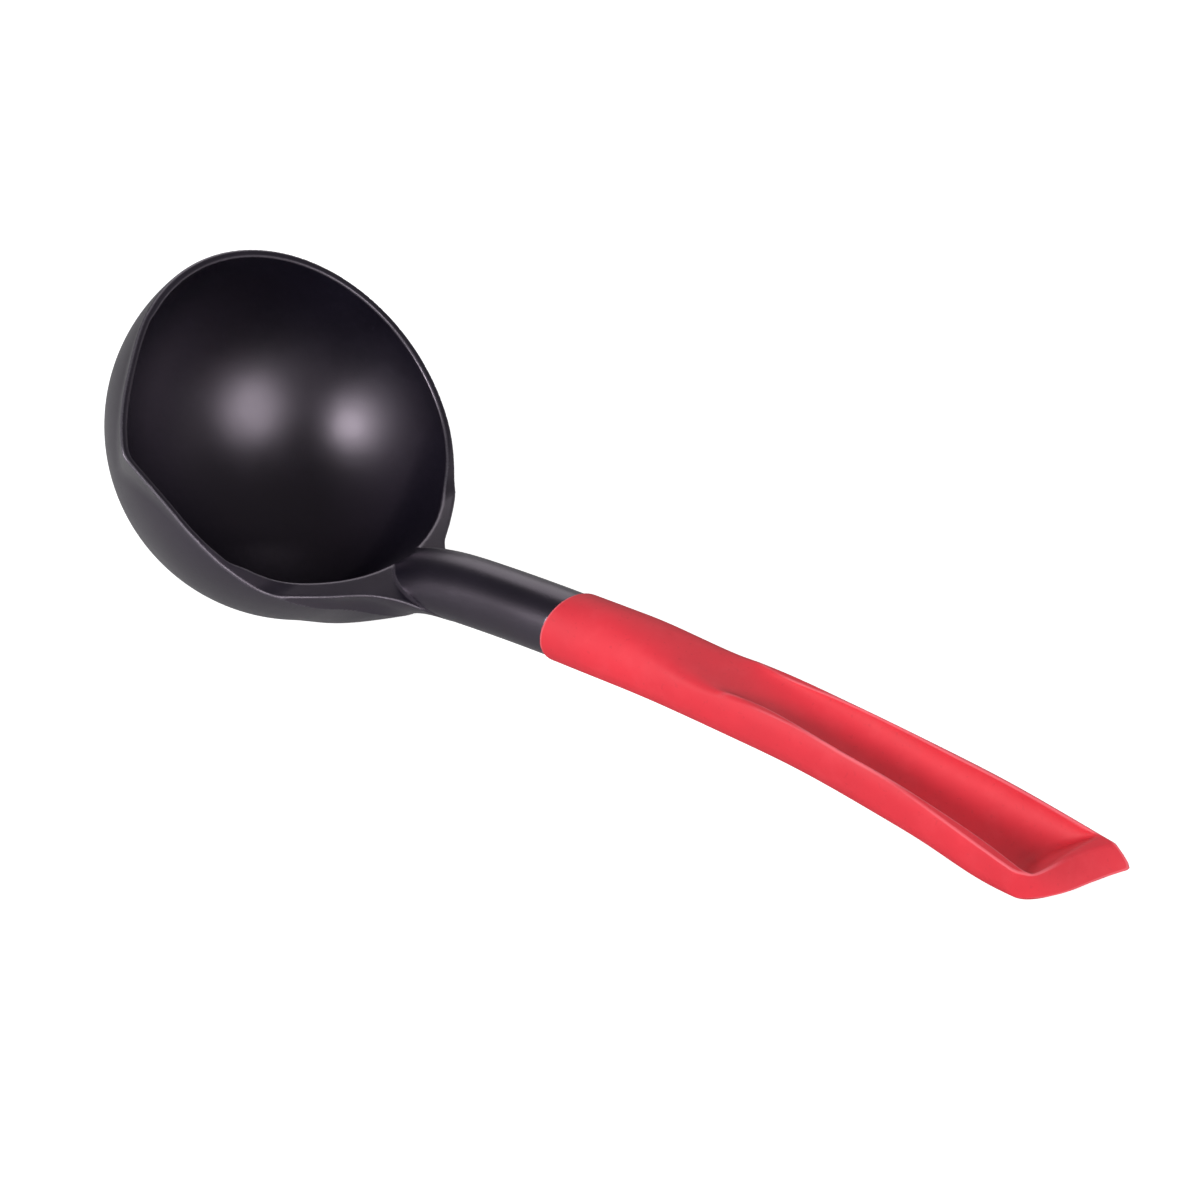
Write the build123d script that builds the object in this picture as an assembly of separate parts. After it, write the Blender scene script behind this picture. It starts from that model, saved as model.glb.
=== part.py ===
from build123d import *
import math
import os

# Soup ladle: one moulded head (bowl, neck and tang) and one handle grip moulded over the tang.
# Millimetres. +X runs from the bowl to the end of the handle, +Z is up, -Y is the spout side.
# The ladle lies at rest: the belly of the bowl and the end of the handle touch Z = 0.

# bowl
RIM_RADIUS = 50.0
WALL = 2.2
BOWL_TILT = 47.4
BELLY_FLAT_DEPTH = 0.15

# pouring spout in the rim plane: (towards the handle, towards -Y), tip shared by both sides
SPOUT_TIP = (-19.3, 53.4)
SPOUT_FRONT = [(-45.6, 20.4), (-38.0, 33.5), (-32.4, 41.3), (-25.3, 48.8)]
SPOUT_BACK = [(-5.0, 51.4), (9.6, 49.0), (18.9, 46.2)]
SPOUT_WALL = 2.6
SPOUT_DROP = 30.0
SPOUT_SHRINK = 0.68
SPOUT_SHRINK_INSIDE = 0.66

# collar: the rim climbs to the neck and its ledge widens
COLLAR_START = 33.0
COLLAR_SLOPE = 0.55
COLLAR_SIDE_SLOPE = 0.05
COLLAR_HEIGHT = 24.0
COLLAR_LEAN = 1.7
COLLAR_FOOT = 3.0
LEDGE_CENTRE = (-11.4, 2.0)
LEDGE_RADIUS = 54.4

# mouth of the grip, where the neck goes in: its far side lies further along, by the slant
MOUTH_X = 82.0
MOUTH_HEIGHT = 20.2
MOUTH_SLANT = 0.37
NECK_RADIUS = 9.0
MOUTH_WALL = 0.6

# neck sections: x, height of the centre, half width, half height
NECK = [
    (18.0, 8.6, 15.5, 6.0),
    (26.0, 12.2, 16.0, 6.0),
    (33.0, 15.3, 13.2, 6.7),
    (40.0, 18.0, 10.4, 7.1),
    (49.0, 19.6, 8.9, 8.0),
    (60.0, 19.8, 8.9, 8.8),
    (MOUTH_X - 11.0, MOUTH_HEIGHT, NECK_RADIUS, NECK_RADIUS),
    (MOUTH_X + 12.0, MOUTH_HEIGHT, NECK_RADIUS, NECK_RADIUS),
]

# tang inside the grip: x from the mouth, rise of the centre, half width, half height
TANG = [
    (-2.0, 0.0, 6.0, 5.0),
    (12.0, 0.0, 5.8, 4.6),
    (26.0, -0.3, 5.5, 4.0),
    (38.0, -0.9, 5.2, 3.4),
]
TANG_SQUARENESS = 4.0
KEY_POSITIONS = [11.0, 25.0]
KEY_DIAMETER = 5.0
KEY_REACH = 15.0
FIT_CLEARANCE = 0.05

# grip sections: x from the mouth, height of the centre, half width, half height, squareness
GRIP = [
    (-3.0, MOUTH_HEIGHT, NECK_RADIUS + MOUTH_WALL, NECK_RADIUS + MOUTH_WALL, 2.0),
    (14.0, MOUTH_HEIGHT, 9.7, 9.7, 2.0),
    (30.0, 20.1, 9.8, 9.8, 2.0),
    (44.0, 19.6, 9.8, 9.6, 2.2),
    (58.0, 18.8, 9.8, 9.4, 2.4),
    (72.0, 17.6, 9.9, 9.1, 2.5),
    (86.0, 15.9, 10.2, 8.9, 2.7),
    (100.0, 13.8, 10.9, 8.8, 2.8),
    (114.0, 11.6, 11.9, 8.6, 3.0),
    (128.0, 8.9, 12.9, 8.7, 3.2),
    (142.0, 7.0, 13.4, 7.3, 3.4),
    (150.0, 6.5, 13.4, 6.8, 3.4),
    (158.0, 6.0, 13.4, 6.3, 3.4),
    (166.0, 5.5, 13.4, 5.9, 3.4),
]
GRIP_START_GAP = 0.05

# lips of the trough: x from the mouth, height
LIPS = [
    (22.0, 31.4),
    (30.0, 29.5),
    (40.0, 27.4),
    (51.0, 25.5),
    (64.0, 24.3),
    (80.0, 22.8),
    (96.0, 20.6),
    (110.0, 17.7),
    (124.0, 14.3),
    (137.0, 10.9),
    (149.0, 8.1),
    (170.0, 4.4),
]
# hollow of the trough: x from the mouth, depth below the lips, half width, squareness
TROUGH = [
    (21.0, 1.0, 2.6, 2.0),
    (30.0, 1.7, 4.2, 2.0),
    (44.0, 3.3, 6.3, 2.1),
    (60.0, 5.0, 7.4, 2.2),
    (78.0, 6.6, 7.7, 2.3),
    (96.0, 7.7, 8.3, 2.4),
    (114.0, 8.2, 9.8, 2.5),
    (128.0, 7.8, 11.3, 2.5),
    (156.0, 5.6, 12.1, 2.5),
]

# slanted end of the grip: x from the mouth and y of the end line at the lips and at the foot
END_TOP = [
    (126.0, -15.9),
    (135.4, -14.1),
    (140.9, -11.7),
    (143.4, -7.8),
    (145.9, 2.0),
    (149.4, 12.4),
    (150.8, 16.0),
]
END_FOOT = [
    (122.0, -15.9),
    (133.8, -13.9),
    (139.6, -11.8),
    (144.1, -8.4),
    (150.4, 1.6),
    (156.2, 12.4),
    (158.6, 16.0),
]
END_TOP_HEIGHT = 9.5
END_FOOT_HEIGHT = 2.2
END_UNDERCUT = 3.0
END_WALL = 1.1
END_WALL_SLOPE = 1.1

POINTS = 28
BEYOND = 30.0


def superellipse(half_width, half_height, squareness):
    points = []
    for i in range(POINTS):
        t = 2 * math.pi * (i + 0.5) / POINTS
        c, s = math.cos(t), math.sin(t)
        y = half_width * math.copysign(abs(c) ** (2 / squareness), c)
        z = half_height * math.copysign(abs(s) ** (2 / squareness), s)
        points.append((y, z))
    return points


def interpolate(table, x, column):
    previous = table[0]
    for row in table[1:]:
        if x <= row[0]:
            share = (x - previous[0]) / (row[0] - previous[0])
            return previous[column] + share * (row[column] - previous[column])
        previous = row
    return table[-1][column]


def section(x, z, tilt, half_width, half_height, squareness):
    points = []
    for y, h in superellipse(half_width, half_height, squareness):
        points.append(Vector(x - h * math.sin(tilt), y, z + h * math.cos(tilt)))
    return Wire([Edge.make_spline(points, periodic=True)])


def tilts(table):
    angles = []
    for i in range(len(table)):
        before = table[max(i - 1, 0)]
        after = table[min(i + 1, len(table) - 1)]
        angles.append(math.atan2(after[1] - before[1], after[0] - before[0]))
    return angles


def swept(table, squareness=2.0, grow=0.0):
    wires = []
    for row, tilt in zip(table, tilts(table)):
        n = row[4] if len(row) > 4 else squareness
        wires.append(section(row[0], row[1], tilt, row[2] + grow, row[3] + grow, n))
    return Solid.make_loft(wires)


def bowl_place(shape):
    return Pos(0, 0, RIM_RADIUS - BELLY_FLAT_DEPTH) * Rot(0, BOWL_TILT, 0) * shape


def from_mouth(table):
    return [(row[0] + MOUTH_X,) + tuple(row[1:]) for row in table]


def tang_rows():
    return [(x + MOUTH_X, rise + MOUTH_HEIGHT, w, h) for x, rise, w, h in TANG]


def key_places():
    return [x + MOUTH_X for x in KEY_POSITIONS]


def before_mouth(gap):
    edge = MOUTH_X + gap + MOUTH_SLANT * (NECK_RADIUS + MOUTH_WALL)
    near = edge - MOUTH_SLANT * BEYOND
    far = edge + MOUTH_SLANT * BEYOND
    corners = [(near, -BEYOND), (far, BEYOND), (-BEYOND, BEYOND), (-BEYOND, -BEYOND)]
    plan = Wire.make_polygon([Vector(x, y, -BEYOND) for x, y in corners], close=True)
    return Solid.extrude(Face(plan), Vector(0, 0, 3 * BEYOND))


def below_table():
    length = MOUTH_X + GRIP[-1][0]
    return Pos(length / 2, 0, -BEYOND / 2) * Box(2 * length, 2 * BEYOND, BEYOND)


def half_ball(radius):
    return Sphere(radius, arc_size1=-90, arc_size2=0, align=None)


def spout_wire(scale, height):
    tip = Vector(SPOUT_TIP[0] * scale, -SPOUT_TIP[1] * scale, height)
    front = [Vector(x * scale, -y * scale, height) for x, y in SPOUT_FRONT]
    back = [Vector(x * scale, -y * scale, height) for x, y in SPOUT_BACK]
    middle = Vector(0, 0, height)
    edges = [
        Edge.make_spline(front + [tip]),
        Edge.make_spline([tip] + back),
        Edge.make_line(back[-1], middle),
        Edge.make_line(middle, front[0]),
    ]
    return Wire(edges)


def spout_body(scale, shrink):
    upper = spout_wire(scale, 0)
    lower = spout_wire(scale * shrink, -SPOUT_DROP)
    return Solid.make_loft([upper, lower], ruled=True)


def collar_body():
    upper = RIM_RADIUS - COLLAR_LEAN
    ring = Pos(0, 0, COLLAR_FOOT / 2) * Cone(RIM_RADIUS, upper, COLLAR_FOOT)
    ring = ring + Pos(0, 0, COLLAR_HEIGHT / 2) * Cylinder(upper, COLLAR_HEIGHT)
    reach = RIM_RADIUS + 5
    rise = (reach - COLLAR_START) * COLLAR_SLOPE
    depth = COLLAR_HEIGHT / 2
    corners = [(COLLAR_START - depth / COLLAR_SLOPE, -depth), (reach, -depth), (reach, rise)]
    side = Wire.make_polygon([Vector(x, reach, z) for x, z in corners], close=True)
    wedge = Solid.extrude(Face(side), Vector(0, -2 * reach, 0))
    tilt = math.degrees(math.atan(COLLAR_SIDE_SLOPE))
    return ring & (Rot(-tilt, 0, 0) * wedge)


def cavity():
    inner = RIM_RADIUS - WALL
    well = half_ball(inner)
    well += Pos(0, 0, COLLAR_HEIGHT) * Cylinder(inner, 2 * COLLAR_HEIGHT)
    guard = Pos(*LEDGE_CENTRE, 0) * Cylinder(LEDGE_RADIUS, 4 * RIM_RADIUS)
    scale = 1 - SPOUT_WALL / math.hypot(*SPOUT_TIP)
    return (well & guard) + spout_body(scale, SPOUT_SHRINK_INSIDE)


def key_bars(diameter, length):
    bars = []
    for x in key_places():
        z = interpolate(tang_rows(), x, 1)
        bars.append(Pos(x, 0, z) * Rot(90, 0, 0) * Cylinder(diameter / 2, length))
    return bars


def ladle_head():
    body = half_ball(RIM_RADIUS) + spout_body(1.0, SPOUT_SHRINK) + collar_body()
    body = bowl_place(body) + (swept(NECK) & before_mouth(0))
    body = body + swept(tang_rows(), TANG_SQUARENESS)
    body = body - bowl_place(cavity())
    body = body - below_table()
    for bar in key_bars(KEY_DIAMETER, 2 * BEYOND):
        body = body - bar
    return body


def lip_cutter():
    lips = from_mouth(LIPS)
    path = Edge.make_spline([Vector(x, 0, z) for x, z in lips])
    first, last = lips[0], lips[-1]
    ceiling = 2 * BEYOND
    corners = [(last[0], last[1]), (last[0], ceiling), (first[0], ceiling), (first[0], first[1])]
    back = [Vector(x, 0, z) for x, z in corners]
    edges = [path]
    for a, b in zip(back, back[1:]):
        edges.append(Edge.make_line(a, b))
    block = Solid.extrude(Face(Wire(edges)), Vector(0, -2 * BEYOND, 0))
    return Pos(0, BEYOND, 0) * block


def end_wire(points, height):
    line = Edge.make_spline([Vector(x, y, height) for x, y in points])
    start, finish = points[0], points[-1]
    corners = [finish, (MOUTH_X - BEYOND, BEYOND), (MOUTH_X - BEYOND, -BEYOND), start]
    back = [Vector(x, y, height) for x, y in corners]
    edges = [line]
    for a, b in zip(back, back[1:]):
        edges.append(Edge.make_line(a, b))
    return Wire(edges)


def end_limit():
    top = from_mouth(END_TOP)
    foot = from_mouth(END_FOOT)
    under = [(x - 2 * END_UNDERCUT, y) for x, y in foot]
    lower = end_wire(under, -END_FOOT_HEIGHT)
    middle = end_wire(foot, END_FOOT_HEIGHT)
    upper = end_wire(top, END_TOP_HEIGHT)
    block = Solid.make_loft([lower, middle], ruled=True)
    block = block + Solid.make_loft([middle, upper], ruled=True)
    return block + Solid.extrude(Face(upper), Vector(0, 0, BEYOND))


def end_inside():
    reach = END_TOP_HEIGHT * END_WALL_SLOPE
    upper = [(x - END_WALL, y) for x, y in from_mouth(END_TOP)]
    lower = [(x - END_WALL - reach, y) for x, y in from_mouth(END_TOP)]
    block = Solid.make_loft([end_wire(lower, 0), end_wire(upper, END_TOP_HEIGHT)], ruled=True)
    return block + Solid.extrude(Face(end_wire(upper, END_TOP_HEIGHT)), Vector(0, 0, BEYOND))


def trough_cutter():
    rows = []
    for x, depth, half_width, squareness in from_mouth(TROUGH):
        rows.append((x, interpolate(from_mouth(LIPS), x, 1), half_width, depth, squareness))
    return swept(rows) & end_inside()


def socket():
    rows = tang_rows()
    end = rows[-1]
    rows[-1] = (end[0] + FIT_CLEARANCE, end[1], end[2], end[3])
    return swept(rows, TANG_SQUARENESS, FIT_CLEARANCE)


def grip():
    body = swept(from_mouth(GRIP)) - before_mouth(GRIP_START_GAP)
    body = body - lip_cutter()
    body = body - trough_cutter()
    body = body & end_limit()
    body = body - below_table()
    body = body - socket()
    for bar in key_bars(KEY_DIAMETER - 2 * FIT_CLEARANCE, KEY_REACH):
        body = body + bar
    return body


if __name__ == "__main__":
    os.makedirs("parts", exist_ok=True)
    head = ladle_head()
    print("head", head.is_valid, head.volume, head.bounding_box())
    handle = grip()
    print("grip", handle.is_valid, handle.volume, handle.bounding_box())
    export_step(head, "parts/ladle_head.step")
    export_step(handle, "parts/grip.step")
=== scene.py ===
import math

import bpy
import numpy as np
from mathutils import Matrix, Vector


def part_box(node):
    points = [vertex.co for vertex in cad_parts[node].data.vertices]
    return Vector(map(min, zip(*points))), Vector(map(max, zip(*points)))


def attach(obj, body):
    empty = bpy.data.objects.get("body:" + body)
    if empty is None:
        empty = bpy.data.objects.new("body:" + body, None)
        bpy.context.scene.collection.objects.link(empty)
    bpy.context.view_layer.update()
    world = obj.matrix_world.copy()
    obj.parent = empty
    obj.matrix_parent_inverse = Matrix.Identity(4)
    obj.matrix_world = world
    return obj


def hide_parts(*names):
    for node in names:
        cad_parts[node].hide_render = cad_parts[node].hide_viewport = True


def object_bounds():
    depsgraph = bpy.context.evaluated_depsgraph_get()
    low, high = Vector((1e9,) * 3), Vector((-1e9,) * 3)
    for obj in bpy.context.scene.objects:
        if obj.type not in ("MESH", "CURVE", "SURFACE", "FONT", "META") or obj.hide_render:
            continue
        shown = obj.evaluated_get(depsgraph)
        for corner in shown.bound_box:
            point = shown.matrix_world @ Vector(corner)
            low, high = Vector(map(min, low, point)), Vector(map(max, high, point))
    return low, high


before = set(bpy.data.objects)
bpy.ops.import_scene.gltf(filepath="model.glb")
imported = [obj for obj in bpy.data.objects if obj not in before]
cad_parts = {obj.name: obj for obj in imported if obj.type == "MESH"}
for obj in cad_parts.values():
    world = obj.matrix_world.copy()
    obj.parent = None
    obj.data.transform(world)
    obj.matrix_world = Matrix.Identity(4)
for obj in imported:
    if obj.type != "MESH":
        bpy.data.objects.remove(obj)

bl_info = {
    "name": "Soup Ladle",
    "version": (1, 0, 0),
    "blender": (4, 5, 0),
    "location": "View3D > Sidebar > Ladle",
    "description": "Makes a soup ladle: a moulded nylon head and a soft red grip, with its stage",
    "category": "Object",
}

MODEL_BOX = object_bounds()

MM = 0.001
HEAD_LOW, HEAD_HIGH = (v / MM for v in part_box("ladle_head"))
GRIP_LOW, GRIP_HIGH = (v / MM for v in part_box("grip"))

# ---------------------------------------------------------------- tables
# All lengths here are in millimetres, and all slopes are rise over run.

# pouring spout in the rim plane: (towards the handle, towards the spout side)
SPOUT_TIP = (-19.3, 53.4)
SPOUT_FRONT = [(-45.6, 20.4), (-38.0, 33.5), (-32.4, 41.3), (-25.3, 48.8)]
SPOUT_BACK = [(-5.0, 51.4), (9.6, 49.0), (18.9, 46.2)]

# how deep the spout goes, the share of its plan that is left there outside and inside, its
# wall, and the fillets that join it to the bowl
SPOUT_DROP = 30.0
SPOUT_SHRINK = 0.68
SPOUT_SHRINK_INSIDE = 0.66
SPOUT_WALL = 2.2
SPOUT_BLEND = 1.2
SPOUT_BLEND_INSIDE = 1.5
SPOUT_STEEPEST = 1.2

# the spout's plan round the bowl: softness and fade in radians, depth of the fade, and the
# numbers of steps along each side, along the whole plan and to either side of a softened one
SPOUT_TIP_SOFTNESS = 0.035
SPOUT_FADE = 0.30
SPOUT_FADE_DEPTH = 9.0
SIDE_STEPS = 400
PLAN_STEPS = 2400
SOFTENING_STEPS = 60

# collar and ledge round the root of the neck: the rim climbs from the start at these slopes,
# the wall above it leans in, and the hollow stops at a round ledge that dips outwards
COLLAR_START = 33.0
COLLAR_SLOPE = 0.55
COLLAR_SIDE_SLOPE = 0.05
COLLAR_LEAN = 1.7
COLLAR_FOOT = 3.0
COLLAR_FOOT_SHARE = 1.5
COLLAR_BLEND = 1.5
LEDGE_CENTRE = (-11.4, -2.0)
LEDGE_RADIUS = 54.4
LEDGE_DIP = 0.22
LEDGE_BLEND = 3.0

# fillet of the neck into the bowl under the ledge, wider by a share on the spout side, and the
# distance to that side at which it has that width
GUSSET_FILLET = 12.0
GUSSET_SIDE = 0.30
GUSSET_REACH = 15.0

# neck: x, height of the centre, half width, half height
NECK = [
    (18.0, 8.6, 9.0, 6.0),
    (26.0, 12.0, 9.8, 6.4),
    (33.0, 14.9, 9.8, 7.4),
    (40.0, 17.4, 9.5, 8.0),
    (49.0, 18.9, 9.2, 8.7),
    (60.0, 19.6, 9.0, 9.0),
    (71.0, 20.0, 9.0, 9.0),
    (82.0, 20.2, 9.0, 9.0),
]
# rounding of the neck's end, and how far it runs into the mouth of the grip
NECK_END_BLEND = 0.4
NECK_TUCK = 0.3

# tang inside the grip: x from the mouth, height of the centre, half width, half height
TANG = [
    (-2.0, 20.2, 6.0, 5.0),
    (12.0, 20.2, 5.8, 4.6),
    (26.0, 19.9, 5.5, 4.0),
    (38.0, 19.3, 5.2, 3.4),
]
TANG_SQUARENESS = 4.0
TANG_END_BLEND = 0.6

# mouth of the grip: its near edge lies at MOUTH, and the rest further along by the slant
FIT_CLEARANCE = 0.05
MOUTH = GRIP_LOW.x - FIT_CLEARANCE
MOUTH_SLANT = 0.37
MOUTH_EDGE = 9.6

# keys of the grip through the tang: x from the mouth, radius and reach to either side, and
# where the part of the head that they pass through starts
KEY_POSITIONS = [11.0, 25.0]
KEY_RADIUS = 2.5
KEY_REACH = 7.5
KEY_ZONE = 2.0

# grip: x from the mouth, height of the centre, half width, half height, squareness
GRIP = [
    (0.0, 20.2, 9.6, 9.6, 2.0),
    (14.0, 20.2, 9.7, 9.7, 2.0),
    (30.0, 20.1, 9.8, 9.8, 2.0),
    (44.0, 19.6, 9.8, 9.6, 2.2),
    (58.0, 18.8, 9.8, 9.4, 2.4),
    (72.0, 17.6, 9.9, 9.1, 2.5),
    (86.0, 15.9, 10.2, 8.9, 2.7),
    (100.0, 13.8, 10.9, 8.8, 2.8),
    (114.0, 11.6, 11.9, 8.6, 3.0),
    (128.0, 8.9, 12.9, 8.7, 3.2),
    (142.0, 7.0, 13.4, 7.3, 3.4),
    (150.0, 6.5, 13.4, 6.8, 3.4),
    (158.0, 6.0, 13.4, 6.3, 3.4),
    (166.0, 5.5, 13.4, 5.9, 3.4),
]

# lips of the trough: x from the mouth, height
LIPS = [
    (14.0, 34.8),
    (22.0, 33.0),
    (30.0, 30.7),
    (40.0, 27.9),
    (51.0, 25.5),
    (64.0, 24.3),
    (80.0, 22.8),
    (96.0, 20.6),
    (110.0, 17.7),
    (124.0, 14.3),
    (137.0, 10.9),
    (149.0, 8.1),
    (170.0, 4.4),
]

# hollow of the trough: x from the mouth, depth below the lips, half width, squareness,
# shift to the far side
TROUGH = [
    (14.0, 0.4, 1.6, 2.0, 0.0),
    (21.0, 0.4, 2.8, 2.0, 0.0),
    (30.0, 0.5, 4.4, 2.0, 0.0),
    (44.0, 0.9, 6.6, 2.0, 0.0),
    (58.0, 2.0, 6.4, 2.0, 0.0),
    (68.0, 3.3, 6.7, 2.0, 0.0),
    (78.0, 4.7, 7.6, 2.0, 0.0),
    (90.0, 6.3, 8.5, 2.0, 0.0),
    (104.0, 7.4, 8.9, 2.1, 0.1),
    (118.0, 8.0, 9.9, 2.2, 0.6),
    (130.0, 7.8, 10.9, 2.3, 0.9),
    (140.0, 7.1, 11.8, 2.4, 0.6),
    (156.0, 5.6, 12.6, 2.4, 0.3),
]

# rounding of the lips: x from the mouth, width
LIP_SOFTNESS = [
    (20.0, 4.5),
    (32.0, 4.5),
    (46.0, 3.0),
    (60.0, 0.8),
    (80.0, 0.5),
]

# slanted end of the grip: x from the mouth and y of the end line at the lips and at the foot
END_TOP = [
    (126.0, -15.9),
    (135.4, -14.1),
    (140.9, -11.7),
    (143.4, -7.8),
    (145.9, 2.0),
    (149.4, 12.4),
    (150.8, 16.0),
]
END_FOOT = [
    (122.0, -15.9),
    (133.8, -13.9),
    (139.6, -11.8),
    (144.1, -8.4),
    (150.4, 1.6),
    (156.2, 12.4),
    (158.6, 16.0),
]
# heights of the two lines, the slope under the foot line, and the wall left at the end
END_TOP_HEIGHT = 9.5
END_FOOT_HEIGHT = 2.2
END_UNDERCUT_SLOPE = 1.364
END_WALL = 0.4
END_WALL_SLOPE = 1.5
END_WALL_BLEND = 1.8

# rounding where the pieces stand on the floor, steps in x of the tables and their slopes, a
# value well inside a body, and the squareness of a plain ellipse
FOOT_BLEND = 0.2
TABLE_STEP = 0.05
SLOPE_STEP = 0.5
FAR_INSIDE = -9.0
ROUND = 2.0


# ---------------------------------------------------------------- settings
class LadleBowlSizes(bpy.types.PropertyGroup):
    """Sizes of the bowl and its rim"""

    rim_radius: bpy.props.FloatProperty(
        name="Rim radius",
        description="Radius of the bowl at its rim",
        default=0.05,
        unit="LENGTH",
    )
    wall: bpy.props.FloatProperty(
        name="Wall",
        description="Thickness of the bowl's wall",
        default=0.0022,
        unit="LENGTH",
    )
    tilt: bpy.props.FloatProperty(
        name="Tilt",
        description="How far the rim leans back from level",
        default=math.radians(47.4),
        subtype="ANGLE",
    )
    belly_flat: bpy.props.FloatProperty(
        name="Belly flat",
        description="Depth of the flat that it stands on",
        default=0.00015,
        unit="LENGTH",
    )
    rim_rounding: bpy.props.FloatProperty(
        name="Rim rounding",
        description="Width of the rounded rim edges",
        default=0.0007,
        unit="LENGTH",
    )
    neck_fillet: bpy.props.FloatProperty(
        name="Neck fillet",
        description="Softness of the join of neck and ledge",
        default=0.0005,
        unit="LENGTH",
    )
    cell: bpy.props.FloatProperty(
        name="Mesh cell",
        description="Size of the head's mesh faces",
        default=0.00055,
        unit="LENGTH",
    )


class LadleGripSizes(bpy.types.PropertyGroup):
    """Sizes of the grip"""

    mouth_rounding: bpy.props.FloatProperty(
        name="Mouth rounding",
        description="Width of the rounded mouth edge",
        default=0.0007,
        unit="LENGTH",
    )
    lip_rounding: bpy.props.FloatProperty(
        name="Lip rounding",
        description="Width of the rounded trough lips",
        default=0.0005,
        unit="LENGTH",
    )
    cell: bpy.props.FloatProperty(
        name="Mesh cell",
        description="Size of the grip's mesh faces",
        default=0.00038,
        unit="LENGTH",
    )


class LadleFinish(bpy.types.PropertyGroup):
    """Colours and surface of the two plastics"""

    nylon_colour: bpy.props.FloatVectorProperty(
        name="Nylon",
        description="Colour of the black nylon",
        default=(0.0030, 0.0024, 0.0066),
        subtype="COLOR",
    )
    nylon_roughness: bpy.props.FloatProperty(
        name="Nylon roughness", description="Roughness of the nylon", default=0.31
    )
    grip_colour: bpy.props.FloatVectorProperty(
        name="Grip",
        description="Colour of the red grip",
        default=(0.71, 0.024, 0.042),
        subtype="COLOR",
    )
    grip_roughness: bpy.props.FloatProperty(
        name="Grip roughness", description="Roughness of the red grip", default=0.64
    )


class LadleStage(bpy.types.PropertyGroup):
    """Camera, floor and lamps"""

    camera_turn: bpy.props.FloatProperty(
        name="Camera turn",
        description="Turn of the camera round the ladle",
        default=math.radians(34.18),
        subtype="ANGLE",
    )
    camera_height: bpy.props.FloatProperty(
        name="Camera height",
        description="Angle of the camera above the floor",
        default=math.radians(34.24),
        subtype="ANGLE",
    )
    camera_distance: bpy.props.FloatProperty(
        name="Camera distance",
        description="Distance from the aimed point",
        default=0.894,
        unit="LENGTH",
    )
    lens: bpy.props.FloatProperty(
        name="Lens", description="Focal length in millimetres", default=107.46
    )
    aim_x: bpy.props.FloatProperty(
        name="Aim forward",
        description="Aimed point along the handle, from the bowl",
        default=0.09420,
        unit="LENGTH",
    )
    aim_height: bpy.props.FloatProperty(
        name="Aim height",
        description="Height of the aimed point",
        default=0.03169,
        unit="LENGTH",
    )
    floor_radius: bpy.props.FloatProperty(
        name="Floor",
        description="Radius of the floor",
        default=3.0,
        unit="LENGTH",
    )
    room_light: bpy.props.FloatProperty(
        name="Room light", description="Strength of the even light of the room", default=0.26
    )
    horizon: bpy.props.FloatProperty(
        name="Horizon", description="How bright the walls are in reflections", default=0.31
    )
    ceiling: bpy.props.FloatProperty(
        name="Ceiling", description="How bright the ceiling is in reflections", default=0.10
    )
    lamp_light: bpy.props.FloatProperty(
        name="Lamps", description="Strength of the soft lamps together", default=1.0
    )


# ---------------------------------------------------------------- curves and soft joins
def smooth_line(xs, ys):
    """A natural cubic through the points, as a function that stays level beyond its ends."""
    xs = np.asarray(xs, float)
    ys = np.asarray(ys, float)
    count = len(xs)
    gaps = np.diff(xs)
    matrix = np.eye(count)
    right = np.zeros(count)
    for i in range(1, count - 1):
        matrix[i, i - 1 : i + 2] = gaps[i - 1], 2 * (gaps[i - 1] + gaps[i]), gaps[i]
        right[i] = 6 * ((ys[i + 1] - ys[i]) / gaps[i] - (ys[i] - ys[i - 1]) / gaps[i - 1])
    bend = np.linalg.solve(matrix, right)
    fine = np.arange(xs[0], xs[-1] + TABLE_STEP, TABLE_STEP)
    fine = np.minimum(fine, xs[-1])
    i = np.clip(np.searchsorted(xs, fine) - 1, 0, count - 2)
    after = fine - xs[i]
    before = xs[i + 1] - fine
    values = (bend[i] * before**3 + bend[i + 1] * after**3) / (6 * gaps[i])
    values += (ys[i] / gaps[i] - bend[i] * gaps[i] / 6) * before
    values += (ys[i + 1] / gaps[i] - bend[i + 1] * gaps[i] / 6) * after
    return lambda x: np.interp(x, fine, values)


def column(table, index, shift=0.0):
    """One column of a table as a smooth line over x."""
    return smooth_line([row[0] + shift for row in table], [row[index] for row in table])


def either(a, b, width):
    """Joins two bodies with a fillet of about that width."""
    overlap = np.maximum(width - np.abs(a - b), 0.0)
    return np.minimum(a, b) - overlap * overlap / (4 * width)


def both(a, b, width):
    """Keeps what lies in both bodies, with the edge between them rounded."""
    return -either(-a, -b, width)


def rounded_section(y, z, half_width, half_height, squareness):
    """Distance, near the surface, from a rounded section."""
    a = np.abs(y) / half_width + 1e-9
    b = np.abs(z) / half_height + 1e-9
    level = (a**squareness + b**squareness) ** (1 / squareness)
    steep_y = (a / level) ** (squareness - 1) / half_width
    steep_z = (b / level) ** (squareness - 1) / half_height
    return (level - 1) / np.hypot(steep_y, steep_z)


def slope_along(line, x):
    """Slope of a smooth line at x."""
    return (line(x + SLOPE_STEP) - line(x - SLOPE_STEP)) / (2 * SLOPE_STEP)


def swept_line(table, shift=0.0):
    """Centre height, half width and upright half height of a swept table, as a function of x."""
    centre, width, height = (column(table, i, shift) for i in (1, 2, 3))

    def at(x):
        slope = slope_along(centre, x)
        upright = height(x) * np.sqrt(1 + slope * slope)
        return centre(x), width(x), upright

    return at


def mouth_side(x, y):
    """Distance past the slanted mouth."""
    return (x - MOUTH - MOUTH_SLANT * (y + MOUTH_EDGE)) / math.hypot(1, MOUTH_SLANT)


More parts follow.
